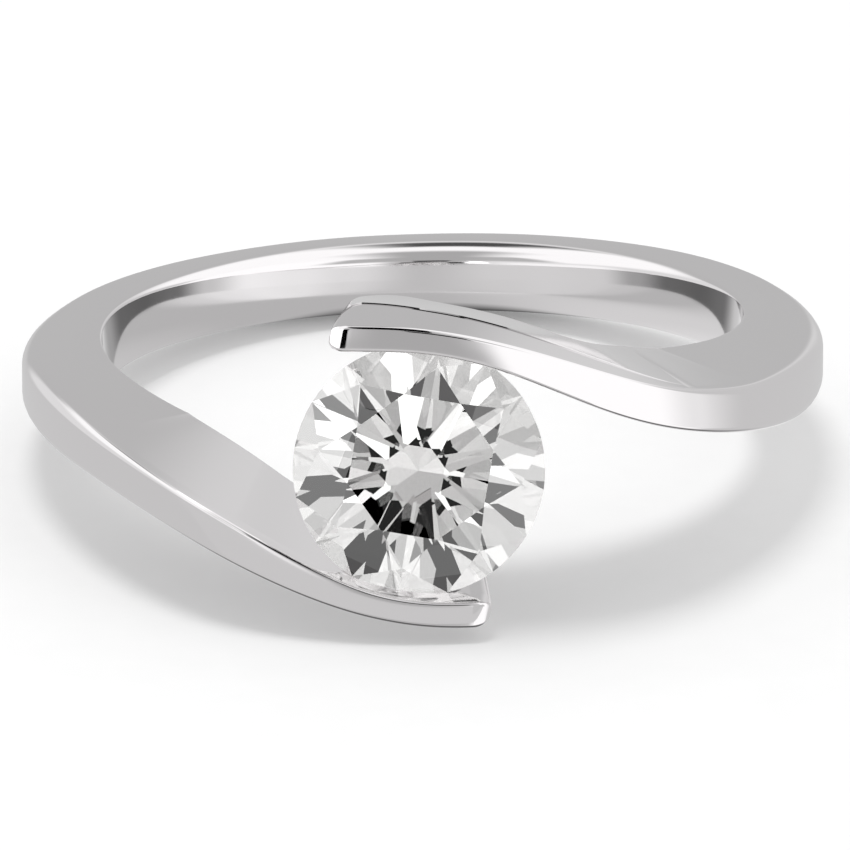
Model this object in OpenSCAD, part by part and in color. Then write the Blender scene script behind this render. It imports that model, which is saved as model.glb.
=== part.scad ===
// Solitaire ring: one swept shank whose two arms pass under and over a single round stone.
// Units are millimetres. The ring is drawn round its own finger axis (Z), with the stone towards -Y,
// and is then turned into the pose in which it lies on its side on a table.

/* [Finger hole] */
// Inside diameter of the finger hole (a ring size of 6)
finger_hole_d = 16.5; // [14:0.1:22]

/* [Shank] */
// Radius of the rounding along the outer edges of the arms and the back
outer_edge_r = 0.1; // [0.05:0.01:0.25]
// Radius of the same rounding at its softest, on the shoulders
shoulder_edge_r = 0.42; // [0.1:0.01:0.45]
// Inset of the rounded arm ends, measured up and down
tip_inset = 0.2; // [0.05:0.01:0.25]
// Length of the rounding at the arm ends, measured along the arm
tip_rounding = 0.45; // [0.1:0.05:0.6]
// Inset of the same rounding, measured from the outer face
tip_corner = 0.4; // [0.1:0.05:0.6]
// How far the inner corner of an arm's end stands back behind its outer corner
tip_slant = 0.5; // [0:0.05:0.6]
// How far an arm's end leans back for each millimetre of its height
tip_lean = 0.2; // [0:0.05:0.6]
// Where the upper arm ends, left of the middle of the ring
upper_tip_x = -2.34; // [-3:0.01:-1]
// Where the lower arm ends, right of the middle (as a negative distance)
lower_tip_x = -1.77; // [-3:0.01:-1]
// Height of the crease on the outward face of each arm above its outer edge
crease_rise = 0.12; // [0:0.01:0.2]
// How much deeper than high the rounding along the inside of the back is
back_dome = 1.8; // [1:0.1:2]

/* [Stone] */
// Girdle diameter of the round brilliant
stone_d = 6.15; // [5:0.02:7]
// Distance from the finger axis to the centre of the girdle plane
stone_reach = 11.42; // [11.2:0.01:12.2]
// Distance of that centre below the middle of the finger hole's height
stone_drop = 0.17; // [-0.2:0.01:0.4]
// Distance of that centre to the right of the middle of the ring
stone_side = -0.085; // [-0.3:0.005:0.3]
// Upward turn of the stone in its seat, away from square to the finger axis
stone_tilt = 17.7; // [0:0.1:20]
// Turn of the stone to the right
stone_turn = 2.6; // [-5:0.1:5]
// Turn of the facets about the stone's own axis
stone_spin = 12.1; // [0:0.1:45]
// Width across the corners of the table, as a share of the girdle
table_share = 0.59; // [0.5:0.005:0.65]
// Slope of the crown's main facets
crown_angle = 35.8; // [30:0.1:37]
// Slope of the pavilion's main facets
pavilion_angle = 41.1; // [39:0.1:43]
// Thickness of the girdle where it is thinnest
girdle_thickness = 0.1; // [0.04:0.01:0.2]
// Gap between the stone and the groove cut in each arm
seat_gap = 0.03; // [0.02:0.01:0.08]

/* [Rest pose] */
// Lift of the stone's side when the ring lies on its side
rest_pitch = -7.93; // [-12:0.01:0]
// Lean to one side in the same pose
rest_roll = 0.32; // [-5:0.01:5]
// Height of the finger axis' centre above the table in that pose
rest_height = 2.321; // [1:0.001:5]
// Distance along Y of that centre from the middle of the ring's overall length
rest_shift = 1.819; // [0:0.001:4]

/* [Hidden] */

bore_r = finger_hole_d / 2;
bore_skin = 0.012; // the swept wall starts this far inside the bore; the true cylinder then trims it
bore_cut_h = 12; // the cylinder reaches past both arms
stone_r = stone_d / 2;

// Stations of the upper arm, from its tip (left of the stone) round by the right shoulder to the back.
// The lower arm is the same arm turned by half a turn about the stone's axis.
// Columns: angle from the stone, outer radius, heights of the four edges
// (top outer, top inner, bottom outer, bottom inner), rounding of the top and bottom inner edges.
ANGLE = 0;
OUTER = 1;
TOP_OUT = 2;
TOP_IN = 3;
BOT_OUT = 4;
BOT_IN = 5;
TOP_ROUND = 6;
BOT_ROUND = 7;
stations = [
    [-12, 13.00, 3.72, 3.30, 3.07, 2.36, 0.06, 0.06],
    [-5, 13.02, 3.77, 3.49, 3.12, 2.41, 0.06, 0.06],
    [0, 13.04, 3.72, 3.36, 3.10, 2.36, 0.06, 0.06],
    [5, 13.08, 3.54, 3.12, 2.90, 2.25, 0.06, 0.06],
    [10, 13.08, 3.24, 2.82, 2.50, 1.96, 0.06, 0.06],
    [15, 13.05, 2.86, 2.42, 1.98, 1.55, 0.06, 0.06],
    [20, 13.00, 2.44, 2.08, 1.45, 1.06, 0.06, 0.06],
    [25, 12.85, 2.04, 1.89, 1.01, 0.73, 0.06, 0.06],
    [30, 12.58, 1.71, 1.79, 0.66, 0.50, 0.06, 0.06],
    [37, 12.14, 1.40, 1.64, 0.28, 0.29, 0.06, 0.06],
    [45, 11.68, 1.18, 1.54, -0.04, 0.13, 0.06, 0.06],
    [54, 11.22, 1.09, 1.42, -0.30, -0.08, 0.06, 0.06],
    [64, 10.82, 1.03, 1.31, -0.47, -0.25, 0.06, 0.06],
    [76, 10.47, 1.00, 1.23, -0.53, -0.40, 0.06, 0.06],
    [90, 10.20, 0.98, 1.17, -0.52, -0.54, 0.06, 0.06],
    [105, 10.03, 0.99, 1.11, -0.53, -0.66, 0.10, 0.08],
    [120, 9.92, 1.06, 1.07, -0.64, -0.74, 0.18, 0.14],
    [135, 9.84, 1.10, 1.06, -0.74, -0.80, 0.30, 0.25],
    [150, 9.79, 1.09, 1.04, -0.83, -0.87, 0.43, 0.38],
    [165, 9.76, 1.05, 1.01, -0.92, -0.92, 0.50, 0.47],
    [180, 9.75, 0.98, 0.97, -0.98, -0.97, 0.50, 0.50]
];

// Depth of the crease behind the outer edge, by angle; it runs out beyond the last row.
creases = [[-12, 2.2], [-5, 1.95], [0, 1.7], [10, 1.3], [20, 0.85], [33, 0.35]];
crease_end = 33;
crease_fade = 12; // the crease sinks into the face over this many degrees
crease_wrap = 0.65; // near an arm's end it turns towards the outer corner over this length

// Angles of the sections: close together along the arms, wider round the back.
arm_step = 2;
back_step = 3;
arm_end = 70;
square_from = 5; // up to this angle an arm is cut square across, like its tip
square_to = 45; // from this angle on the sections point at the finger axis

function blend(a, b, share) = a + (b - a) * share;
function clamp(x, low, high) = max(low, min(high, x));

// How much of the shoulder's softer rounding a section has: all of it in the middle of the shoulder.
shoulder_from = 20;
shoulder_to = 140;
function shoulder_share(angle) =
    pow(sin(180 * clamp((angle - shoulder_from) / (shoulder_to - shoulder_from), 0, 1)), 2);
edge_limit = 0.35; // an edge's rounding takes no more than this share of the outer face

// Smooth curve through one column of the stations (Hermite pieces with the slopes of the neighbours).
function row_below(angle, i = 0) =
    i >= len(stations) - 2 || angle < stations[i + 1][ANGLE] ? i : row_below(angle, i + 1);
function slope_at(i, column) =
    let (a = max(i - 1, 0), b = min(i + 1, len(stations) - 1))
    (stations[b][column] - stations[a][column]) / (stations[b][ANGLE] - stations[a][ANGLE]);
function station_value(angle, column) =
    let (
        i = row_below(angle),
        span = stations[i + 1][ANGLE] - stations[i][ANGLE],
        u = (angle - stations[i][ANGLE]) / span,
        v0 = stations[i][column],
        v1 = stations[i + 1][column],
        m0 = slope_at(i, column) * span,
        m1 = slope_at(i + 1, column) * span
    )
    v0 * (2 * u * u * u - 3 * u * u + 1) + m0 * (u * u * u - 2 * u * u + u)
    + v1 * (3 * u * u - 2 * u * u * u) + m1 * (u * u * u - u * u);

// Half of a section, from the inner wall out along one face and round to the outer face, as
// [radius, height] pairs. side is +1 for the top face and -1 for the bottom face.
// from_tip is the distance to the end of the arm.
quarter_turns = [0, 30, 60, 90];
plain_depth = 0.5; // where a face without a crease has its extra point
crease_margin = 3; // a crease stays this many edge roundings behind the outer edge
function half_section(angle, side, inset, from_tip) =
    let (
        outer = station_value(angle, OUTER) - inset * tip_corner / tip_inset,
        z_out = station_value(angle, side > 0 ? TOP_OUT : BOT_OUT) - side * inset,
        z_in = station_value(angle, side > 0 ? TOP_IN : BOT_IN) - side * inset,
        z_other = station_value(angle, side > 0 ? BOT_OUT : TOP_OUT) + side * inset,
        edge_r = min(
            blend(outer_edge_r, shoulder_edge_r, shoulder_share(angle)),
            abs(z_out - z_other) * edge_limit
        ),
        inner_r = station_value(angle, side > 0 ? TOP_ROUND : BOT_ROUND),
        inner_depth = inner_r * back_dome,
        wall = bore_r - bore_skin,
        wrap = sqrt(1 - pow(1 - clamp(from_tip / crease_wrap, 0, 1), 2)),
        depth = side > 0 ? lookup(angle, creases) * wrap : plain_depth,
        rise = side > 0 ? crease_rise * wrap * clamp((crease_end - angle) / crease_fade, 0, 1) : 0,
        face_slope = (z_out - z_in) / (outer - wall),
        crease_z = z_out - face_slope * depth * (rise > 0 ? 0 : 1) + side * rise,
        round_z = z_in + face_slope * inner_depth
    )
    concat(
        [for (a = quarter_turns) [
            wall + inner_depth * (1 - cos(a)),
            blend(z_in - side * inner_r, round_z, sin(a))
        ]],
        [[outer - max(depth, crease_margin * edge_r), crease_z]],
        [for (a = quarter_turns) [
            outer - edge_r * (1 - sin(a)),
            z_out - side * edge_r * (1 - cos(a))
        ]]
    );

// A whole section of the upper arm as points in space. Near the tip the arm is cut square across, so
// all its points share one x; further back they share one direction from the finger axis. At the very
// end the cut slants and leans, which dies away over tip_reach. section_x is the x of the outer face
// where it is given, and arm_tip is the x at which the arm ends.
tip_reach = 2.5;
function section_points(angle, section_x, inset, arm_tip) =
    let (
        square = clamp((square_to - angle) / (square_to - square_from), 0, 1),
        outer = station_value(angle, OUTER),
        foot = station_value(angle, BOT_OUT),
        outer_x = section_x == undef ? outer * sin(angle) : section_x,
        from_tip = angle > 90 ? outer : outer_x - arm_tip,
        share = clamp(1 - from_tip / tip_reach, 0, 1),
        flat = concat(
            half_section(angle, 1, inset, from_tip),
            reverse(half_section(angle, -1, inset, from_tip))
        )
    )
    [for (p = flat)
        let (
            straight = angle > 90 ? p[0] * sin(angle) : blend(p[0] * sin(angle), outer_x, square),
            slant = tip_slant * (outer - p[0]) / (outer - bore_r),
            x = straight + share * (slant + tip_lean * (p[1] - foot))
        )
        [x, -(angle > 90 ? -1 : 1) * sqrt(p[0] * p[0] - x * x), p[1]]];

function reverse(list) = [for (i = [len(list) - 1:-1:0]) list[i]];
function half_turn(points) = [for (p = reverse(points)) [-p[0], p[1], -p[2]]];

// Sections of one arm from its tip to the back of the ring.
tip_turns = [90, 66, 42, 20];
function tip_sections(tip_x) =
    [for (a = tip_turns)
        let (x = tip_x + tip_rounding * (1 - sin(a)))
        section_points(asin(x / stations[1][OUTER]), x, tip_inset * (1 - cos(a)), tip_x)];
function arm_sections(tip_x) =
    let (first = asin((tip_x + tip_rounding) / stations[1][OUTER]))
    concat(
        tip_sections(tip_x),
        [for (i = [0:round((arm_end - first) / arm_step)])
            section_points(
                blend(first, arm_end, i / round((arm_end - first) / arm_step)), undef, 0, tip_x)],
        [for (a = [arm_end + back_step:back_step:180 - back_step])
            section_points(a, undef, 0, tip_x)]
    );

module shank_sweep() {
    upper = arm_sections(upper_tip_x);
    lower = [for (s = arm_sections(lower_tip_x)) half_turn(s)];
    rings = concat(upper, [section_points(180, undef, 0, 0)], reverse(lower));
    n = len(rings[0]);
    last = len(rings) - 1;
    walls = [for (i = [0:last - 1], j = [0:n - 1])
        [i * n + j, (i + 1) * n + j, (i + 1) * n + (j + 1) % n, i * n + (j + 1) % n]];
    polyhedron(
        points = [for (ring = rings, p = ring) p],
        faces = concat([[for (j = [0:n - 1]) j]], walls, [[for (j = [n - 1:-1:0]) last * n + j]]),
        convexity = 10
    );
}

// Turns something drawn with the stone's axis along Z (table up) into its place in the ring.
module at_stone() {
    translate([stone_side, -stone_reach, -stone_drop])
        rotate([90 - stone_tilt, 0, stone_turn])
            children();
}

// Heights in the stone's own frame, above the middle of the girdle.
crown_base = girdle_thickness / 2;
table_z = crown_base + stone_r * (1 - table_share) * tan(crown_angle);
culet_z = -crown_base - stone_r * tan(pavilion_angle);

// Room for the stone in the arms: its own outline, larger by the gap all round.
module stone_seat() {
    r = stone_r + seat_gap;
    crown_top = crown_base + seat_gap + r * (1 - table_share) * tan(crown_angle);
    rotate_extrude($fn = 96)
        polygon([
            [0, culet_z - 2 * seat_gap],
            [r, -crown_base - seat_gap],
            [r, crown_base + seat_gap],
            [r * table_share, crown_top],
            [0, crown_top]
        ]);
}

module shank() {
    color("silver")
        difference() {
            shank_sweep();
            cylinder(r = bore_r, h = bore_cut_h, center = true, $fn = 180);
            at_stone() stone_seat();
        }
}

// The round brilliant: table, stars, bezels, upper halves, girdle, lower halves and pavilion mains.
arc_steps = 4; // girdle facets along each half facet
star_reach = 0.81; // where the stars end, as a share of the girdle radius
lower_reach = 0.2; // where the lower halves end
girdle_dip = 0.012; // how far the girdle's edge rises between two bezels, as a share of its radius
function polar(r, a, z) = [r * cos(a), r * sin(a), z];
function bezel_z(r, off) = crown_base + (stone_r - r * cos(off)) * tan(crown_angle);
function main_z(r, off) = -crown_base - (stone_r - r * cos(off)) * tan(pavilion_angle);
function plane_z(a, b, c, x, y) =
    let (n = cross(b - a, c - a))
    a[2] - (n[0] * (x - a[0]) + n[1] * (y - a[1])) / n[2];

module stone_solid() {
    table = [for (k = [0:7]) polar(stone_r * table_share, 45 * k, table_z)];
    stars = [for (k = [0:7])
        polar(stone_r * star_reach, 45 * k + 22.5, bezel_z(stone_r * star_reach, 22.5))];
    lowers = [for (k = [0:7])
        polar(stone_r * lower_reach, 45 * k + 22.5, main_z(stone_r * lower_reach, 22.5))];
    culet = [[0, 0, culet_z]];
    // Girdle points follow the planes of the half facets, so that every facet is flat.
    valley = crown_base + girdle_dip * stone_r;
    per_turn = 16 * arc_steps;
    rim = [for (i = [0:per_turn - 1])
        let (
            a = i * 360 / per_turn,
            k = floor(a / 45 + 0.5),
            side = a - 45 * k >= 0 ? 1 : -1,
            tip = polar(stone_r, 45 * k, crown_base),
            dip = polar(stone_r, 45 * k + side * 22.5, valley),
            star = polar(stone_r * star_reach, 45 * k + side * 22.5,
                bezel_z(stone_r * star_reach, 22.5)),
            low = polar(stone_r * lower_reach, 45 * k + side * 22.5,
                main_z(stone_r * lower_reach, 22.5)),
            p = polar(stone_r, a, 0)
        )
        [p, plane_z(tip, dip, star, p[0], p[1]),
            plane_z([tip[0], tip[1], -tip[2]], [dip[0], dip[1], -dip[2]], low, p[0], p[1])]];
    rim_top = [for (r = rim) [r[0][0], r[0][1], r[1]]];
    rim_low = [for (r = rim) [r[0][0], r[0][1], r[2]]];
    points = concat(table, stars, lowers, culet, rim_top, rim_low);
    star_at = 8;
    low_at = 16;
    culet_at = 24;
    top_at = 25;
    bot_at = top_at + per_turn;
    eighth = 2 * arc_steps;
    faces = concat(
        [[for (k = [7:-1:0]) k]],
        [for (k = [0:7]) [k, (k + 1) % 8, star_at + k]],
        [for (k = [0:7]) [k, star_at + k, top_at + k * eighth, star_at + (k + 7) % 8]],
        [for (k = [0:7], h = [0, 1])
            concat([star_at + k], [for (i = [arc_steps:-1:0])
                top_at + (k * eighth + h * arc_steps + i) % per_turn])],
        [for (i = [0:per_turn - 1])
            let (j = (i + 1) % per_turn)
            [top_at + i, top_at + j, bot_at + j, bot_at + i]],
        [for (k = [0:7], h = [0, 1])
            concat([low_at + k], [for (i = [0:arc_steps])
                bot_at + (k * eighth + h * arc_steps + i) % per_turn])],
        [for (k = [0:7]) [culet_at, low_at + (k + 7) % 8, bot_at + k * eighth, low_at + k]]
    );
    polyhedron(points = points, faces = faces, convexity = 2);
}

module stone() {
    color("white")
        at_stone()
            rotate([0, 0, stone_spin])
                stone_solid();
}

// The whole ring laid on its side on the table.
module laid_down() {
    translate([0, rest_shift, rest_height])
        rotate([rest_pitch, rest_roll, 0])
            children();
}

laid_down() shank();
laid_down() stone();
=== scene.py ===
# Solitaire ring, dressed for its portrait. Metres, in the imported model's own frame.
import math

import bmesh
import bpy
import numpy as np
from mathutils import Matrix, Vector


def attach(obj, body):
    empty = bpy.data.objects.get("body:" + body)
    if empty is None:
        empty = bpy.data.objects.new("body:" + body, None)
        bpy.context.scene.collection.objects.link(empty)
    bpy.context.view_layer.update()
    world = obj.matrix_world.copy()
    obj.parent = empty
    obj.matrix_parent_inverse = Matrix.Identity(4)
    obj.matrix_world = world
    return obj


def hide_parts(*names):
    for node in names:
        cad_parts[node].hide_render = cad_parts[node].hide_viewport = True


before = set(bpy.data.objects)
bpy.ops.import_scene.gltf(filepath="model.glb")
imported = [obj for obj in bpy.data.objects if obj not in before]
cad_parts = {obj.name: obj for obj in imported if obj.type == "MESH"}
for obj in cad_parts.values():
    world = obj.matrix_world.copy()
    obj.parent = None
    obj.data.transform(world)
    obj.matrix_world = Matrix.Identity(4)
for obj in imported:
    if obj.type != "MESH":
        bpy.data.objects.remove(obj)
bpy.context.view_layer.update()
print("packed ring loaded:", ", ".join(sorted(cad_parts)))

mm = 0.001

# The lengths below are millimetres in the ring's own frame: Z along the finger hole, the stone at -Y.
restPose = {  # how the ring lies on its side on the table
    "pitch": -7.93,  # degrees, lifts the stone's side
    "roll": 0.32,
    "height": 2.325,  # mm, middle of the finger hole above the table
    "shift": 1.819,  # mm along Y
    "trim": 0.9995,  # a hair under full size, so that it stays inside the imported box
}

layDown = (
    Matrix.Translation((0, restPose["shift"] * mm, restPose["height"] * mm))
    @ Matrix.Rotation(math.radians(restPose["roll"]), 4, "Y")
    @ Matrix.Rotation(math.radians(restPose["pitch"]), 4, "X")
    @ Matrix.Scale(mm * restPose["trim"], 4)
)


# The shank: sections swept round the finger hole
shankLook = {
    "holeDiameter": 16.5,  # mm, as every length here
    "edgeRound": 0.1,  # outer edges of the arms and the back
    "shoulderRound": 0.42,  # the same edges on the shoulders
    "shoulderSpan": (20, 140),  # degrees from the stone where the softer edge lives
    "edgeLimit": 0.35,  # share of the outer face that one edge may take
    "tipInset": 0.2,  # rounding of the arm ends: up and down,
    "tipRound": 0.45,  # along the arm
    "tipCorner": 0.4,  # and in from the outer face
    "tipSlant": 0.5,  # how far the end's inner corner stands back
    "tipLean": 0.2,  # how much the end leans back, per mm of height
    "tipReach": 2.5,  # mm over which slant and lean die away
    "upperTip": -2.34,  # x where the upper arm ends
    "lowerTip": -1.77,  # the same for the lower arm, turned over
    "creaseRise": 0.12,  # height of the crease above the outer edge
    "creaseStep": (0.006, 0.03),  # the small step at the crease: how far in, how high
    "creaseWrap": 0.65,  # the crease turns to the corner over this length
    "creaseClear": 3,  # the crease keeps this many edge roundings clear of the outer face
    "creaseEnd": 33,  # degrees from the stone where the crease has died out,
    "creaseFade": 12,  # and over which it does
    "plainDepth": 0.5,  # the underside has no crease; its spare row of points is this far in
    "backDome": 1.8,  # the rounding inside the back is this much deeper than high
    "squareSpan": (5, 45),  # the sections turn from square to radial between these degrees
    "sectionStep": 0.6,  # degrees from one section to the next
    "arcSteps": 7,  # steps in each rounded edge
    "extraEndSteps": 3,  # the rounded ends of the arms have this many more
    "smoothing": 2.5,  # degrees over which the sizes below are evened out
    "curveStep": 0.25,  # degrees between the evened sizes
    "sharpFrom": 24,  # degrees between two faces that keep their edge crisp
}

# Sizes of the upper arm from its tip round to the back; the lower arm is the same, turned over.
# Outer is the outer face's radius, then come the heights of the section's four corners, and last
# the roundings towards the inner wall.
stationColumns = ("angle", "outer", "topOut", "topIn", "lowOut", "lowIn", "topRound", "lowRound")
stations = [
    (-12, 13.00, 3.72, 3.30, 3.07, 2.36, 0.06, 0.06),
    (-5, 13.02, 3.77, 3.49, 3.12, 2.41, 0.06, 0.06),
    (0, 13.04, 3.72, 3.36, 3.10, 2.36, 0.06, 0.06),
    (5, 13.08, 3.54, 3.12, 2.90, 2.25, 0.06, 0.06),
    (10, 13.08, 3.24, 2.82, 2.50, 1.96, 0.06, 0.06),
    (15, 13.05, 2.86, 2.42, 1.98, 1.55, 0.06, 0.06),
    (20, 13.00, 2.44, 2.08, 1.45, 1.06, 0.06, 0.06),
    (25, 12.85, 2.04, 1.89, 1.01, 0.73, 0.06, 0.06),
    (30, 12.58, 1.71, 1.79, 0.66, 0.50, 0.06, 0.06),
    (37, 12.14, 1.40, 1.64, 0.28, 0.29, 0.06, 0.06),
    (45, 11.68, 1.18, 1.54, -0.04, 0.13, 0.06, 0.06),
    (54, 11.22, 1.09, 1.42, -0.30, -0.08, 0.06, 0.06),
    (64, 10.82, 1.03, 1.31, -0.47, -0.25, 0.06, 0.06),
    (76, 10.47, 1.00, 1.23, -0.53, -0.40, 0.06, 0.06),
    (90, 10.20, 0.98, 1.17, -0.52, -0.54, 0.06, 0.06),
    (105, 10.03, 0.99, 1.11, -0.53, -0.66, 0.10, 0.08),
    (120, 9.92, 1.06, 1.07, -0.64, -0.74, 0.18, 0.14),
    (135, 9.84, 1.10, 1.06, -0.74, -0.80, 0.30, 0.25),
    (150, 9.79, 1.09, 1.04, -0.83, -0.87, 0.43, 0.38),
    (165, 9.76, 1.05, 1.01, -0.92, -0.92, 0.50, 0.47),
    (180, 9.75, 0.98, 0.97, -0.98, -0.97, 0.50, 0.50),
]
# how far in from the outer face the crease runs, by angle
creaseDepths = ((-12, 2.2), (-5, 1.95), (0, 1.7), (10, 1.3), (20, 0.85), (33, 0.35))


def curveThrough(x, y, at):
    # a smooth cubic through the points
    slopes = np.gradient(y, x)
    slopes[1:-1] = (y[2:] - y[:-2]) / (x[2:] - x[:-2])
    i = np.clip(np.searchsorted(x, at, side="right") - 1, 0, len(x) - 2)
    span = x[i + 1] - x[i]
    u = (at - x[i]) / span
    return (
        y[i] * (2 * u**3 - 3 * u**2 + 1)
        + slopes[i] * span * (u**3 - 2 * u**2 + u)
        + y[i + 1] * (3 * u**2 - 2 * u**3)
        + slopes[i + 1] * span * (u**3 - u**2)
    )


def evened(curve, step):
    # each value averaged with its neighbours by a bell curve, cut off at three times its width
    width = shankLook["smoothing"]
    reach = int(3 * width / step)
    bell = np.exp(-0.5 * (np.arange(-reach, reach + 1) * step / width) ** 2)
    bell /= bell.sum()
    before = 2 * curve[0] - curve[reach:0:-1]
    after = 2 * curve[-1] - curve[-2:-reach - 2:-1]
    return np.convolve(np.concatenate([before, curve, after]), bell, mode="valid")


def evenedSizes():
    # one curve per column, round the whole ring
    table = np.array(stations)
    knots = table[:, 0]
    step = shankLook["curveStep"]
    at = np.arange(knots[0], 360 - knots[0] + step / 2, step)
    # past the back the other arm goes on: mirror and turn over
    turned = table[::-1][1:]
    swap = {"outer": "outer", "topOut": "lowOut", "lowOut": "topOut", "topIn": "lowIn",
            "lowIn": "topIn", "topRound": "lowRound", "lowRound": "topRound"}
    sizes = {}
    for name in stationColumns[1:]:
        sign = -1 if name[:3] in ("top", "low") and "Round" not in name else 1
        column = table[:, stationColumns.index(name)]
        other = sign * turned[:, stationColumns.index(swap[name])]
        x = np.concatenate([knots, 360 - turned[:, 0]])
        sizes[name] = evened(curveThrough(x, np.concatenate([column, other]), at), step)
    return at, sizes


sizeAngles, sizeCurves = evenedSizes()


def sizeAt(name, angle):
    return float(np.interp(angle, sizeAngles, sizeCurves[name]))


def clamp(value, low=0.0, high=1.0):
    return max(low, min(high, value))


def halfSection(angle, side, inset, fromTip):
    # (radius, height) of the points from the inner wall over the face to the outer edge;
    # side is 1 for the face with the crease and -1 for the plain one
    look = shankLook
    near, far = ("top", "low") if side > 0 else ("low", "top")
    wall = look["holeDiameter"] / 2
    outer = sizeAt("outer", angle) - inset * look["tipCorner"] / look["tipInset"]
    zOut = sizeAt(near + "Out", angle) - side * inset
    zIn = sizeAt(near + "In", angle) - side * inset
    zOther = sizeAt(far + "Out", angle) + side * inset
    spanFrom, spanTo = look["shoulderSpan"]
    share = math.sin(math.pi * clamp((angle - spanFrom) / (spanTo - spanFrom))) ** 2
    edge = look["edgeRound"] + (look["shoulderRound"] - look["edgeRound"]) * share
    edge = min(edge, abs(zOut - zOther) * look["edgeLimit"])
    inner = sizeAt(near + "Round", angle)
    innerDepth = inner * look["backDome"]
    depth = look["plainDepth"]
    rise = 0.0
    if side > 0:
        wrap = math.sqrt(1 - clamp(1 - fromTip / look["creaseWrap"]) ** 2)
        rise = look["creaseRise"] * clamp((look["creaseEnd"] - angle) / look["creaseFade"]) * wrap
        depth = float(np.interp(angle, *zip(*creaseDepths))) * wrap
    creaseAt = outer - max(depth, look["creaseClear"] * edge)
    slope = (zOut - zIn) / (outer - wall)
    creaseZ = zOut + side * rise if rise > 0 else zOut - slope * depth
    turns = [math.pi / 2 * i / look["arcSteps"] for i in range(look["arcSteps"] + 1)]
    points = []
    for a in turns:
        low = zIn - side * inner
        rounded = low + (zIn + slope * innerDepth - low) * math.sin(a)
        points.append((wall + innerDepth * (1 - math.cos(a)), rounded))
    stepIn, stepUp = look["creaseStep"]
    stepUp *= min(1, rise / look["creaseRise"])
    points.append((creaseAt - stepIn, creaseZ))
    points.append((creaseAt, creaseZ - side * stepUp))
    for a in turns:
        points.append((outer - edge * (1 - math.sin(a)), zOut - side * edge * (1 - math.cos(a))))
    return points


def sectionPoints(angle, tipX, inset, armEnd):
    # A whole section in the ring's frame: radial round the back, square across the arms.
    # armEnd is the x where the arm ends; tipX is the x of a section in its rounded end.
    squareFrom, squareTo = shankLook["squareSpan"]
    square = clamp((squareTo - angle) / (squareTo - squareFrom))
    outerX = sizeAt("outer", angle) * math.sin(math.radians(angle)) if tipX is None else tipX
    fromTip = math.inf if angle > 90 else outerX - armEnd
    flat = halfSection(angle, 1, inset, fromTip) + halfSection(angle, -1, inset, fromTip)[::-1]
    share = clamp(1 - fromTip / shankLook["tipReach"])
    outer = sizeAt("outer", angle)
    wall = shankLook["holeDiameter"] / 2
    foot = sizeAt("lowOut", angle)
    points = []
    for radius, z in flat:
        radialX = radius * math.sin(math.radians(angle))
        x = radialX if abs(angle) > 90 else radialX + (outerX - radialX) * square
        x += share * shankLook["tipSlant"] * (outer - radius) / (outer - wall)
        x += share * shankLook["tipLean"] * (z - foot)
        y = math.sqrt(max(radius * radius - x * x, 0))
        points.append((x, y if angle > 90 else -y, z))
    return points


def armSections(tipX):
    # the rounded end, then even steps round to the back
    look = shankLook
    reach = stations[1][1]  # radius of the outer face near the end
    first = math.degrees(math.asin((tipX + look["tipRound"]) / reach))
    endSteps = look["arcSteps"] + look["extraEndSteps"]
    rows = []
    for i in range(endSteps):
        a = math.pi / 2 * (1 - i / endSteps)
        x = tipX + look["tipRound"] * (1 - math.sin(a))
        inset = look["tipInset"] * (1 - math.cos(a))
        rows.append(sectionPoints(math.degrees(math.asin(x / reach)), x, inset, tipX))
    count = round((180 - first) / look["sectionStep"])
    for i in range(count):
        rows.append(sectionPoints(first + (180 - first) * i / count, None, 0, tipX))
    return rows


def finishedMesh(mesh, name):
    # the built faces as a mesh of their own, all facing outwards
    bmesh.ops.recalc_face_normals(mesh, faces=mesh.faces)
    data = bpy.data.meshes.new(name)
    mesh.to_mesh(data)
    mesh.free()
    return data


def sweepShank():
    # the lower arm is built as the upper one and turned over
    upper = armSections(shankLook["upperTip"])
    lower = []
    for row in armSections(shankLook["lowerTip"]):
        lower.append([(-x, y, -z) for x, y, z in reversed(row)])
    rows = upper + [sectionPoints(180, None, 0, 0)] + lower[::-1]
    mesh = bmesh.new()
    rings = [[mesh.verts.new(p) for p in row] for row in rows]
    around = len(rings[0])
    for one, two in zip(rings, rings[1:]):
        for j in range(around):
            k = (j + 1) % around
            mesh.faces.new((one[j], one[k], two[k], two[j]))
    mesh.faces.new(rings[0][::-1])
    mesh.faces.new(rings[-1])
    return finishedMesh(mesh, "polishedShank")


# The stone: a round brilliant, table, crown, girdle and pavilion
stoneLook = {
    "girdleDiameter": 6.15,
    "reach": 11.42,  # from the finger hole's axis to the middle of the girdle
    "drop": 0.17,  # of that point under the ring's middle
    "side": -0.085,  # and its x
    "tilt": 17.7,  # degrees that the table looks up,
    "turn": 2.6,  # degrees that it looks to the side
    "spin": 12.1,  # degrees about the stone's own axis
    "table": 0.59,  # share of the stone's width
    "crown": 35.8,  # degrees of the kite facets,
    "pavilion": 41.1,  # and of the main facets below
    "girdle": 0.1,  # thickness where the kites meet it
    "starReach": 0.81,  # outer corners of the star facets, as a share of the radius,
    "lowerReach": 0.2,  # and inner corners of the lower girdle facets
    "girdleDip": 0.012,  # the girdle is this much thicker each way between two kites, same share
    "girdleSteps": 4,  # sides of the girdle along one girdle facet
    "seatGap": 0.03,  # room all round in the arms' grooves
    "seatSides": 192,
}

toStone = (
    Matrix.Translation((stoneLook["side"], -stoneLook["reach"], -stoneLook["drop"]))
    @ Matrix.Rotation(math.radians(stoneLook["turn"]), 4, "Z")
    @ Matrix.Rotation(math.radians(90 - stoneLook["tilt"]), 4, "X")
)


def polar(radius, degrees, z):
    angle = math.radians(degrees)
    return Vector((radius * math.cos(angle), radius * math.sin(angle), z))


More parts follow.
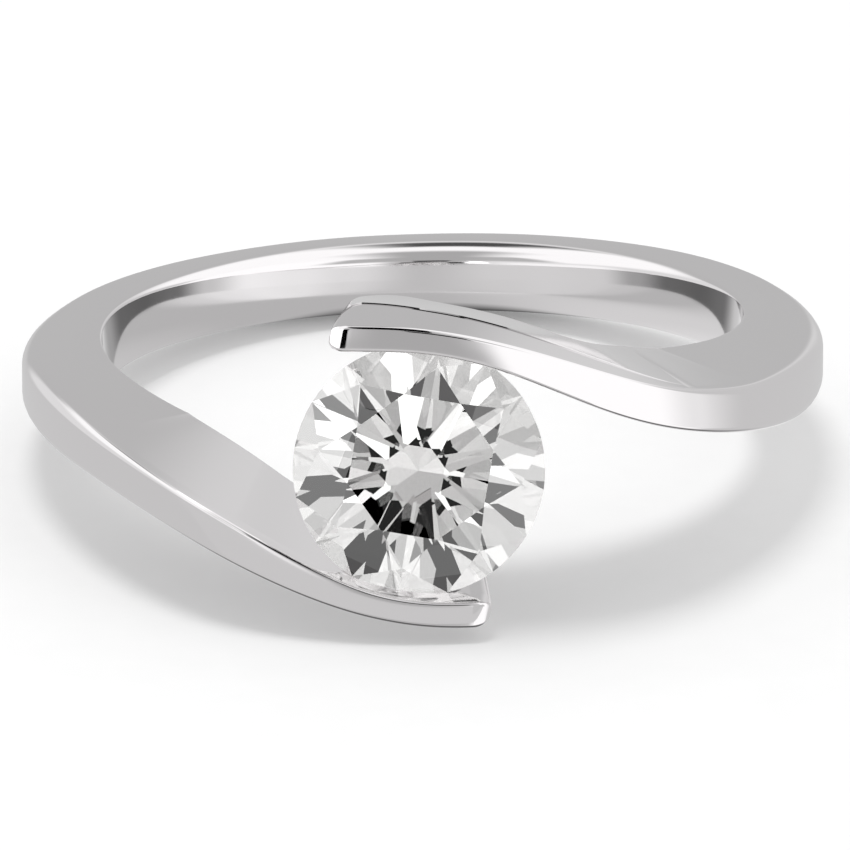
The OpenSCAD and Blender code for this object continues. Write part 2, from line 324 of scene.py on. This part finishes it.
def planeHeight(a, b, c, x, y):
    # height at x and y of the plane through three points
    n = (b - a).cross(c - a)
    return a.z - (n.x * (x - a.x) + n.y * (y - a.y)) / n.z


def tableHeight():
    # above the middle of the girdle
    s = stoneLook
    crownHeight = s["girdleDiameter"] / 2 * (1 - s["table"]) * math.tan(math.radians(s["crown"]))
    return s["girdle"] / 2 + crownHeight


def cutStone():
    # corners of the stars and of the lower girdle facets stand halfway between two kites
    s = stoneLook
    r = s["girdleDiameter"] / 2
    base = s["girdle"] / 2
    kites = 8
    kite = 360 / kites
    halfKite = kite / 2
    crown = math.tan(math.radians(s["crown"]))
    pavilion = math.tan(math.radians(s["pavilion"]))
    steps = s["girdleSteps"]
    perKite = 2 * steps
    perTurn = kites * perKite
    halfway = math.cos(math.radians(halfKite))
    starR = r * s["starReach"]
    lowR = r * s["lowerReach"]
    starZ = base + (r - starR * halfway) * crown
    lowZ = -base - (r - lowR * halfway) * pavilion
    mesh = bmesh.new()
    table = [mesh.verts.new(polar(r * s["table"], kite * k, tableHeight())) for k in range(kites)]
    stars = [mesh.verts.new(polar(starR, kite * k + halfKite, starZ)) for k in range(kites)]
    lows = [mesh.verts.new(polar(lowR, kite * k + halfKite, lowZ)) for k in range(kites)]
    culet = mesh.verts.new((0, 0, -base - r * pavilion))
    dip = base + s["girdleDip"] * r
    flip = Matrix.Diagonal((1, 1, -1))
    top, bottom = [], []
    for i in range(perTurn):
        # the girdle's edges lie in the planes of the girdle facets above and below
        a = 360 * i / perTurn
        k = math.floor(a / kite + 0.5)
        between = kite * k + (halfKite if a >= kite * k else -halfKite)
        tip = polar(r, kite * k, base)
        valley = polar(r, between, dip)
        p = polar(r, a, 0)
        high = planeHeight(tip, valley, polar(starR, between, starZ), p.x, p.y)
        deep = planeHeight(flip @ tip, flip @ valley, polar(lowR, between, lowZ), p.x, p.y)
        top.append(mesh.verts.new((p.x, p.y, high)))
        bottom.append(mesh.verts.new((p.x, p.y, deep)))
    mesh.faces.new(table)
    for k in range(kites):
        mesh.faces.new((table[k], stars[k], table[(k + 1) % kites]))
        mesh.faces.new((table[k], stars[k - 1], top[k * perKite], stars[k]))
        mesh.faces.new((culet, lows[k], bottom[k * perKite], lows[k - 1]))
        for half in (0, 1):
            run = [(k * perKite + half * steps + i) % perTurn for i in range(steps + 1)]
            mesh.faces.new([stars[k]] + [top[i] for i in run])
            mesh.faces.new([lows[k]] + [bottom[i] for i in reversed(run)])
    for i in range(perTurn):
        j = (i + 1) % perTurn
        mesh.faces.new((top[i], bottom[i], bottom[j], top[j]))
    return finishedMesh(mesh, "roundBrilliant")


def seatCutter():
    # the stone's own outline with some room, turned about its axis
    s = stoneLook
    r = s["girdleDiameter"] / 2 + s["seatGap"]
    base = s["girdle"] / 2
    culetZ = -base - s["girdleDiameter"] / 2 * math.tan(math.radians(s["pavilion"]))
    crownTop = base + s["seatGap"] + r * (1 - s["table"]) * math.tan(math.radians(s["crown"]))
    profile = [
        (0, culetZ - 2 * s["seatGap"]),
        (r, -base - s["seatGap"]),
        (r, base + s["seatGap"]),
        (r * s["table"], crownTop),
        (0, crownTop),
    ]
    mesh = bmesh.new()
    around = s["seatSides"]
    low = mesh.verts.new((0, 0, profile[0][1]))
    high = mesh.verts.new((0, 0, profile[-1][1]))
    rings = []
    for radius, z in profile[1:-1]:
        rings.append([mesh.verts.new(polar(radius, 360 * i / around, z)) for i in range(around)])
    for i in range(around):
        j = (i + 1) % around
        mesh.faces.new((low, rings[0][j], rings[0][i]))
        for one, two in zip(rings, rings[1:]):
            mesh.faces.new((one[i], one[j], two[j], two[i]))
        mesh.faces.new((high, rings[-1][i], rings[-1][j]))
    data = finishedMesh(mesh, "seatCutter")
    data.transform(toStone)
    return data


def addObject(name, data):
    obj = bpy.data.objects.new(name, data)
    bpy.context.scene.collection.objects.link(obj)
    return obj


# the shank, with the stone's seat cut out of it
shank = addObject("polishedShank", sweepShank())
cutter = addObject("seatCutter", seatCutter())
seat = shank.modifiers.new("seat", "BOOLEAN")
seat.operation = "DIFFERENCE"
seat.solver = "EXACT"
seat.object = cutter
cutMesh = bpy.data.meshes.new_from_object(shank.evaluated_get(bpy.context.evaluated_depsgraph_get()))
shank.modifiers.clear()
shank.data = cutMesh
cutMesh.name = "polishedShank"
bpy.data.objects.remove(cutter)
cutMesh.transform(layDown)
for polygon in cutMesh.polygons:
    polygon.use_smooth = True
cutMesh.set_sharp_from_angle(angle=math.radians(shankLook["sharpFrom"]))
weighted = shank.modifiers.new("evenShading", "WEIGHTED_NORMAL")
weighted.keep_sharp = True
print("shank:", len(cutMesh.polygons), "faces")

stone = addObject("brilliant", cutStone())
stone.data.transform(layDown @ toStone @ Matrix.Rotation(math.radians(stoneLook["spin"]), 4, "Z"))
print("stone:", len(stone.data.polygons), "facets")


def principled(name, **sockets):
    # sockets by their names, with _ for a space
    material = bpy.data.materials.new(name)
    material.use_nodes = True
    shader = material.node_tree.nodes["Principled BSDF"]
    for socket, value in sockets.items():
        shader.inputs[socket.replace("_", " ")].default_value = value
    return material, material.node_tree, shader


def feed(tree, socket, value):
    # a link where the value comes from another node, a plain setting otherwise
    if isinstance(value, bpy.types.NodeSocket):
        tree.links.new(value, socket)
    else:
        socket.default_value = value


def mathNode(tree, operation, *inputs):
    node = tree.nodes.new("ShaderNodeMath")
    node.operation = operation
    for socket, value in zip(node.inputs, inputs):
        feed(tree, socket, value)
    return node.outputs[0]


def blend(tree, kind, share, first, second):
    # between two colours, or between two plain numbers
    node = tree.nodes.new("ShaderNodeMix")
    node.data_type = kind
    firstInput, output = {"FLOAT": (2, 0), "RGBA": (6, 2)}[kind]  # this kind's sockets of the node
    feed(tree, node.inputs[0], share)
    feed(tree, node.inputs[firstInput], first)
    feed(tree, node.inputs[firstInput + 1], second)
    return node.outputs[output]


def mapped(tree, value, fromRange=(0.0, 1.0), toRange=(0.0, 1.0), curve="LINEAR"):
    node = tree.nodes.new("ShaderNodeMapRange")
    node.interpolation_type = curve
    tree.links.new(value, node.inputs["Value"])
    for name, limit in zip(("From Min", "From Max", "To Min", "To Max"), fromRange + toRange):
        node.inputs[name].default_value = limit
    return node.outputs["Result"]


def softStep(tree, value, edge, soft):
    return mapped(tree, value, fromRange=(edge - soft, edge + soft), curve="SMOOTHSTEP")


def grain(tree, scale, low, high):
    # a fine even noise between two values
    noise = tree.nodes.new("ShaderNodeTexNoise")
    noise.inputs["Scale"].default_value = scale
    place = tree.nodes.new("ShaderNodeTexCoord").outputs["Object"]
    tree.links.new(place, noise.inputs["Vector"])
    return mapped(tree, noise.outputs["Fac"], toRange=(low, high))


# White gold: a high polish with a trace of polishing marks, and painted shade in the creases
metalLook = {
    "colour": (0.9, 0.880, 0.888, 1),
    "roughness": (0.055, 0.085),
    "marksPerMetre": 2500,
}
# painted shade in the creases: how far the ambient occlusion reaches and how much it darkens the
# metal's colour
creaseShadeLook = {
    "reach": 0.07,  # mm
    "openness": (0.55, 0.9),  # a point this open or less is darkest, and from here on untouched
    "brightness": (0.6, 1.0),  # of the metal's colour at these two
    "samples": 8,
}

metal, metalTree, metalShader = principled("whiteGold", Base_Color=metalLook["colour"], Metallic=1.0)
polish = grain(metalTree, metalLook["marksPerMetre"], *metalLook["roughness"])
metalTree.links.new(polish, metalShader.inputs["Roughness"])
# painted shade: the metal's colour is darkened where ambient occlusion finds a crease
paintedCreaseShade = metalTree.nodes.new("ShaderNodeAmbientOcclusion")
paintedCreaseShade.only_local = True
paintedCreaseShade.samples = creaseShadeLook["samples"]
paintedCreaseShade.inputs["Distance"].default_value = creaseShadeLook["reach"] * mm
brightness = mapped(metalTree, paintedCreaseShade.outputs["AO"], creaseShadeLook["openness"], creaseShadeLook["brightness"])
creaseShadedColour = blend(metalTree, "RGBA", brightness, (0, 0, 0, 1), metalLook["colour"])
metalTree.links.new(creaseShadedColour, metalShader.inputs["Base Color"])
shank.data.materials.clear()
shank.data.materials.append(metal)
print("white gold ready")

# Diamond: clear, with the least change of tint through the stone
diamondLook = {
    "clear": (0.99, 0.985, 0.976, 1),
    "tinted": (0.984, 0.978, 0.967, 1),
    "cloudsPerMetre": 700,
    "bending": 2.417,  # index of refraction
}
diamond, diamondTree, diamondShader = principled(
    "diamond", Roughness=0.0, IOR=diamondLook["bending"], Transmission_Weight=1.0
)
clouds = grain(diamondTree, diamondLook["cloudsPerMetre"], 0.0, 1.0)
tint = blend(diamondTree, "RGBA", clouds, diamondLook["clear"], diamondLook["tinted"])
diamondTree.links.new(tint, diamondShader.inputs["Base Color"])
stone.data.materials.append(diamond)
print("diamond ready")

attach(shank, "root")
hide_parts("shank")
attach(stone, "root")
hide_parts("stone")

# A sheet of pale paper under everything. Its faint glow keeps it white in the picture's far corners.
paperLook = {
    "halfSize": 3.0,  # metres
    "below": 0.02,  # mm under the ring
    "pale": (0.63, 0.65),  # darkest and lightest fibres
    "fibresPerMetre": 900,
    "roughness": 0.9,
    "glow": 0.21,
}
half = paperLook["halfSize"]
floorMesh = bpy.data.meshes.new("floor")
corners = [(-half, -half, 0), (half, -half, 0), (half, half, 0), (-half, half, 0)]
floorMesh.from_pydata(corners, [], [(0, 1, 2, 3)])
floor = addObject("floor", floorMesh)
floor.location.z = -paperLook["below"] * mm
floorPaint, floorTree, floorShader = principled(
    "palePaper", Roughness=paperLook["roughness"],
    Emission_Color=(1, 1, 1, 1), Emission_Strength=paperLook["glow"],
)
fibres = grain(floorTree, paperLook["fibresPerMetre"], *paperLook["pale"])
floorTree.links.new(fibres, floorShader.inputs["Base Color"])
floorMesh.materials.append(floorPaint)
floor.visible_glossy = False
print("paper laid")


# Cards near the ring, seen only as reflections in the metal and the stone. Millimetres and degrees.
def glowPaint(name, light=0.0):
    # black that shines by itself, so that nothing else lights it
    return principled(
        name, Base_Color=(0, 0, 0, 1), Roughness=1.0, Specular_IOR_Level=0.0,
        Emission_Color=(1, 1, 1, 1), Emission_Strength=light,
    )[0]


def reflectionCard(name, points, faces, paint):
    mesh = bpy.data.meshes.new(name)
    mesh.from_pydata([[value * mm for value in point] for point in points], [], faces)
    mesh.materials.append(paint)
    card = addObject(name, mesh)
    card.visible_camera = False
    card.visible_diffuse = False
    card.visible_shadow = False
    card.visible_transmission = False


def strip(points):
    # faces between two rows of points that are listed in pairs
    return [(i, i + 2, i + 3, i + 1) for i in range(0, len(points) - 2, 2)]


def seenFromFront(paint):
    # the back of each face lets everything through
    tree = paint.node_tree
    clear = tree.nodes.new("ShaderNodeBsdfTransparent")
    oneSided = tree.nodes.new("ShaderNodeMixShader")
    tree.links.new(tree.nodes.new("ShaderNodeNewGeometry").outputs["Backfacing"], oneSided.inputs[0])
    tree.links.new(tree.nodes["Principled BSDF"].outputs[0], oneSided.inputs[1])
    tree.links.new(clear.outputs[0], oneSided.inputs[2])
    tree.links.new(oneSided.outputs[0], tree.nodes["Material Output"].inputs["Surface"])


# curved cards round the arms' ends: turn is measured round from the camera's side
upperEnd = (-2.2, -10.2, 7.4)
lowerEnd = (1.6, -12.2, 2.2)
tipCards = [
    {"name": "upperBlack", "aim": upperEnd, "turn": (-43, -16), "lift": (-12, 30), "light": 0.0},
    {"name": "upperWhite", "aim": upperEnd, "turn": (-160, -46), "lift": (-14, 30), "light": 1.5},
    {"name": "lowerGrey", "aim": lowerEnd, "turn": (12, 75), "lift": (-25, 18), "light": 0.56},
]
tipCardShape = {"distance": 5, "columns": 17}

for card in tipCards:
    x, y, z = card["aim"]
    away = tipCardShape["distance"]
    low, high = (math.tan(math.radians(value)) for value in card["lift"])
    points = []
    for angle in np.radians(np.linspace(*card["turn"], tipCardShape["columns"])):
        for height in (low, high):
            points.append((x + away * math.sin(angle), y - away * math.cos(angle), z + away * height))
    reflectionCard(card["name"], points, strip(points), glowPaint(card["name"], card["light"]))

# A flat black flag over the upper arm's end, which draws the dark line along its outer edge.
# Corners x and y and the height are in the ring's own frame.
edgeFlag = {"corners": [(-3.5, -12.9), (0.9, -13.1), (1.2, -25.0), (-4.8, -25.0)], "height": 9.75}
points = [layDown @ Vector((x, y, edgeFlag["height"])) / mm for x, y in edgeFlag["corners"]]
reflectionCard("edgeFlag", points, [(0, 1, 2, 3)], glowPaint("edgeFlag"))

# paper in front of the lower arm
frontPaper = {"x": (-60, 8), "y": (-44, -13.6), "light": 0.63}
points = [(x, y, 0) for x in frontPaper["x"] for y in frontPaper["y"]]
reflectionCard("frontPaper", points, [(0, 2, 3, 1)], glowPaint("frontPaper", frontPaper["light"]))

# What the inner wall shows: paper under it, and a low round screen just inside the hole. The light
# of both changes with the angle round a point of their own, whose y is eye. Each pair in lights is
# an angle from the camera's side and the brightness there.
wallPaper = {
    "centre": (0, 0.2),
    "halfSize": (10, 11.2),
    "eye": 6.0,
    "lights": (
        (-180, 0.50), (-120, 0.50), (-91, 0.59), (-68, 0.67), (-47, 0.69), (-28, 0.66), (1, 0.56),
        (26, 0.74), (45, 0.86), (65, 0.90), (88, 0.84), (116, 0.70), (180, 0.50),
    ),
    "shadowBeyond": 9.9,  # y where it passes under the back of the ring and a painted shadow darkens it,
    "shadowSoft": 0.6,  # mm to each side over which it darkens,
    "shadowShare": 0.15,  # and what is left of its light
}
wallScreen = {
    "radius": 8.2,
    "foot": -4.5,  # heights in the ring's own frame
    "frontTop": -0.2,
    "backTop": 0.5,
    "eye": 1.8,
    "lights": (
        (-180, 0.12), (-150, 0.14), (-125, 0.36), (-101, 0.67), (-70, 0.69), (-42, 0.68), (0, 0.56),
        (39, 0.79), (67, 0.89), (97, 0.95), (125, 0.60), (150, 0.16), (180, 0.12),
    ),
}


def ovalPoints(centre, halfSize, height, count=64):
    points = []
    for i in range(count):
        angle = 2 * math.pi * i / count
        x = centre[0] + halfSize[0] * math.cos(angle)
        points.append((x, centre[1] + halfSize[1] * math.sin(angle), height))
    return points


def changingGlow(name, look):
    # the ramp runs from -180 to 180 degrees round the eye
    paint = glowPaint(name, 1.0)
    tree = paint.node_tree
    position = tree.nodes.new("ShaderNodeSeparateXYZ")
    tree.links.new(tree.nodes.new("ShaderNodeTexCoord").outputs["Object"], position.inputs[0])
    fromEye = mathNode(tree, "SUBTRACT", look["eye"] * mm, position.outputs["Y"])
    angle = mathNode(tree, "ARCTAN2", position.outputs["X"], fromEye)
    ramp = tree.nodes.new("ShaderNodeValToRGB")
    ramp.color_ramp.interpolation = "EASE"
    stops = ramp.color_ramp.elements
    stops.remove(stops[1])
    brightest = max(light for degree, light in look["lights"])
    for number, (degree, light) in enumerate(look["lights"]):
        place = (degree + 180) / 360
        stop = stops.new(place) if number else stops[0]
        stop.position = place
        stop.color = (light / brightest,) * 3 + (1,)
    tree.links.new(mathNode(tree, "MULTIPLY_ADD", angle, 0.5 / math.pi, 0.5), ramp.inputs[0])
    glow = mathNode(tree, "MULTIPLY", ramp.outputs["Color"], brightest)
    # painted shadow: the glow drops where the card passes under the back of the ring
    if "shadowBeyond" in look:
        under = softStep(tree, position.outputs["Y"], look["shadowBeyond"] * mm, look["shadowSoft"] * mm)
        shade = mathNode(tree, "MULTIPLY_ADD", under, look["shadowShare"] - 1, 1.0)
        glow = mathNode(tree, "MULTIPLY", glow, shade)
    tree.links.new(glow, tree.nodes["Principled BSDF"].inputs["Emission Strength"])
    seenFromFront(paint)
    return paint


points = ovalPoints(wallPaper["centre"], wallPaper["halfSize"], 0.0)
reflectionCard("wallPaper", points, [list(range(len(points)))], changingGlow("wallPaper", wallPaper))

feet = ovalPoints((0, 0), (wallScreen["radius"],) * 2, wallScreen["foot"])
tops = []
for x, y, z in feet:
    share = 0.5 + 0.5 * y / wallScreen["radius"]
    tops.append((x, y, wallScreen["frontTop"] * (1 - share) + wallScreen["backTop"] * share))
points = [layDown @ Vector(point) / mm for point in feet + tops]
around = len(feet)
faces = [(i, i + around, (i + 1) % around + around, (i + 1) % around) for i in range(around)]
reflectionCard("wallScreen", points, faces, changingGlow("wallScreen", wallScreen))
print("reflection cards placed")

# a soft lamp above, which only lights the paper and gives the ring its shadow
lampLook = {"size": 0.18, "energy": 0.9, "place": (-0.05, 0.03, 0.45)}  # metres, watts
lamp = addObject("softLamp", bpy.data.lights.new("softLamp", "AREA"))
lamp.data.shape = "DISK"
lamp.data.size = lampLook["size"]
lamp.data.energy = lampLook["energy"]
lamp.location = lampLook["place"]
lamp.rotation_euler = Vector(lampLook["place"]).to_track_quat("Z", "Y").to_euler()
lamp.visible_glossy = False
lamp.visible_transmission = False
lamp.visible_camera = False
print("lamp hung")

# The camera, placed in the ring's own frame. The hole's outline in the photo gives its elevation,
# and the size of one millimetre in the picture gives its lens.
portrait = {
    "elevation": 13.5,  # degrees above the plane of the finger hole
    "distance": 200,  # mm from the middle of the finger hole
    "millimetreInPixels": 38.82,
    "pictureSize": 850,
    "ringAt": (422.5, 353),  # pixel of the middle of the finger hole
    "sensor": 36,  # mm
    "clip": (0.01, 20),  # metres
}
camera = addObject("portraitCamera", bpy.data.cameras.new("portraitCamera"))
bpy.context.scene.camera = camera
scale = portrait["millimetreInPixels"]
camera.data.sensor_width = portrait["sensor"]
camera.data.lens = portrait["sensor"] * portrait["distance"] * scale / portrait["pictureSize"]
camera.data.clip_start, camera.data.clip_end = portrait["clip"]
lift = math.radians(portrait["elevation"])
cameraPlace = Vector((0, -math.cos(lift), math.sin(lift))) * portrait["distance"]
right = Vector((1, 0, 0))
up = Vector((0, math.sin(lift), math.cos(lift)))
offRight, offDown = (portrait["pictureSize"] / 2 - pixel for pixel in portrait["ringAt"])
aim = right * (offRight / scale) - up * (offDown / scale)
back = (cameraPlace - aim).normalized()
side = right - back * right.dot(back)
side.normalize()
turn = Matrix((side, back.cross(side), back)).transposed().to_4x4()
turnOnTable = layDown.to_quaternion().to_matrix().to_4x4()
camera.matrix_world = Matrix.Translation(layDown @ cameraPlace) @ turnOnTable @ turn
print("camera placed")

# A black flag where the stone's table mirrors it to the camera, so that the facets under the table
# keep their contrast. The arms' edges show it as thin dark lines.
tableFlag = {"distance": 15, "wide": 5.6, "high": 5.4}  # mm
stoneOnTable = layDown @ toStone
tableMiddle = stoneOnTable @ Vector((0, 0, tableHeight()))
tableFacing = stoneOnTable.to_quaternion() @ Vector((0, 0, 1))
toCamera = (layDown @ cameraPlace - tableMiddle).normalized()
mirrored = 2 * tableFacing * tableFacing.dot(toCamera) - toCamera
across = mirrored.cross(Vector((0, 0, 1))).normalized() * tableFlag["wide"] / 2
upward = across.cross(mirrored).normalized() * tableFlag["high"] / 2
flagMiddle = tableMiddle / mm + mirrored * tableFlag["distance"]
corners = ((-1, -1), (1, -1), (1, 1), (-1, 1))
points = [flagMiddle + x * across + y * upward for x, y in corners]
reflectionCard("tableFlag", points, [(0, 1, 2, 3)], glowPaint("tableFlag"))
print("table flag at", [round(value, 1) for value in flagMiddle])

# The studio: white all round, with soft cards that the polished metal shows, each painted over the
# ones before. Angles in degrees: turn goes round from the camera's side, positive to the right, or
# from behind where back is set; lift is above the horizon; arch goes up and over in the upright
# plane through the camera, and aside leaves that plane to the right. Soft is how far the edges fade
# to each side, first sideways and then upwards.
allRound = (-200, 200)
studioCards = [
    {"name": "ceiling", "turn": allRound, "lift": (27, 90), "soft": (1, 8), "light": 1.35},
    {"name": "table", "turn": allRound, "lift": (-90, -5), "soft": (1, 5), "light": 0.76},
    {"name": "underTable", "turn": allRound, "lift": (-90, -46), "soft": (1, 8), "light": 0.17},
    {"name": "leftGlow", "turn": (-78, -30), "lift": (-6, 20), "soft": (10, 5), "light": 1.3},
    {"name": "rightWall", "turn": (104, 165), "lift": (-24, 22), "soft": (8, 8), "light": 0.76},
    {"name": "backWall", "turn": (-25, 11), "lift": (-7, 27), "soft": (5, 5), "light": 0.64,
     "back": True},
    {"name": "rightWindow", "turn": (14, 99), "lift": (-40, 60), "soft": (5, 8), "light": 1.4},
    {"name": "rightFade", "turn": (88, 106), "lift": (-26, 0), "soft": (10, 6), "light": 1.1},
    {"name": "cameraTop", "turn": (-58, 42), "lift": (28, 58), "soft": (8, 6), "light": 0.63},
    {"name": "cameraSide", "aside": (-19, 11), "arch": (-30, 102), "soft": (9, 8), "light": 0.54},
    {"name": "boomEdge", "aside": (-9, 2), "arch": (126, 148), "soft": (3, 5), "light": 0.10},
]
# The stone looks into a studio of its own, so that its facets sparkle: the photographer's dark
# shape in front, a bright window above it and a soft one to each side.
stoneCards = [
    {"name": "floor", "turn": allRound, "lift": (-90, -6), "soft": (1, 6), "light": 0.80},
    {"name": "leftWindow", "turn": (-62, -30), "lift": (2, 26), "soft": (3, 3), "light": 1.5},
    {"name": "rightWindow", "turn": (34, 60), "lift": (-8, 30), "soft": (3, 3), "light": 1.5},
    {"name": "topWindow", "turn": (-24, 20), "lift": (36, 56), "soft": (3, 3), "light": 2.2},
    {"name": "photographer", "turn": (-24, 14), "lift": (-12, 31), "soft": (2.5, 2.5), "light": 0.04},
]
skies = {"metal": 0.98, "stone": 0.9}  # brightness where no card is
angleLimits = {"turn": 180, "lift": 90, "aside": 90, "arch": 180}  # an edge beyond is left out


def paintCards(tree, cards, light, angles):
    # each card is soft-edged in two of the angles: turn or aside, and lift or arch
    for card in cards:
        sides = "aside" if "aside" in card else "turn"
        ends = "arch" if "arch" in card else "lift"
        steps = []
        for angle, soft in zip((sides, ends), card["soft"]):
            value = angles["backTurn" if angle == "turn" and card.get("back") else angle]
            low, high = card[angle]
            if low > -angleLimits[angle]:
                steps.append(softStep(tree, value, low, soft))
            if high < angleLimits[angle]:
                steps.append(mathNode(tree, "SUBTRACT", 1.0, softStep(tree, value, high, soft)))
        mask = steps[0]
        for step in steps[1:]:
            mask = mathNode(tree, "MULTIPLY", mask, step)
        light = blend(tree, "FLOAT", mask, light, card["light"])
    return light


def paintStudio():
    world = bpy.data.worlds.new("studio")
    bpy.context.scene.world = world
    world.use_nodes = True
    tree = world.node_tree
    tree.nodes.clear()
    facing = tree.nodes.new("ShaderNodeTexCoord").outputs["Generated"]
    split = tree.nodes.new("ShaderNodeSeparateXYZ")
    tree.links.new(facing, split.inputs[0])
    x, y, z = split.outputs
    degree = 180 / math.pi
    minusY = mathNode(tree, "MULTIPLY", y, -1.0)
    radians = {
        "lift": mathNode(tree, "ARCSINE", z),
        "turn": mathNode(tree, "ARCTAN2", x, minusY),
        "backTurn": mathNode(tree, "ARCTAN2", x, y),
        "aside": mathNode(tree, "ARCSINE", x),
        "arch": mathNode(tree, "ARCTAN2", z, minusY),
    }
    angles = {name: mathNode(tree, "MULTIPLY", value, degree) for name, value in radians.items()}
    forMetal = paintCards(tree, studioCards, skies["metal"], angles)
    forStone = paintCards(tree, stoneCards, skies["stone"], angles)
    throughStone = tree.nodes.new("ShaderNodeLightPath").outputs["Is Transmission Ray"]
    background = tree.nodes.new("ShaderNodeBackground")
    light = blend(tree, "FLOAT", throughStone, forMetal, forStone)
    tree.links.new(light, background.inputs["Strength"])
    output = tree.nodes.new("ShaderNodeOutputWorld")
    tree.links.new(background.outputs[0], output.inputs["Surface"])


paintStudio()
print("studio painted")
bpy.context.scene.view_settings.view_transform = "Standard"
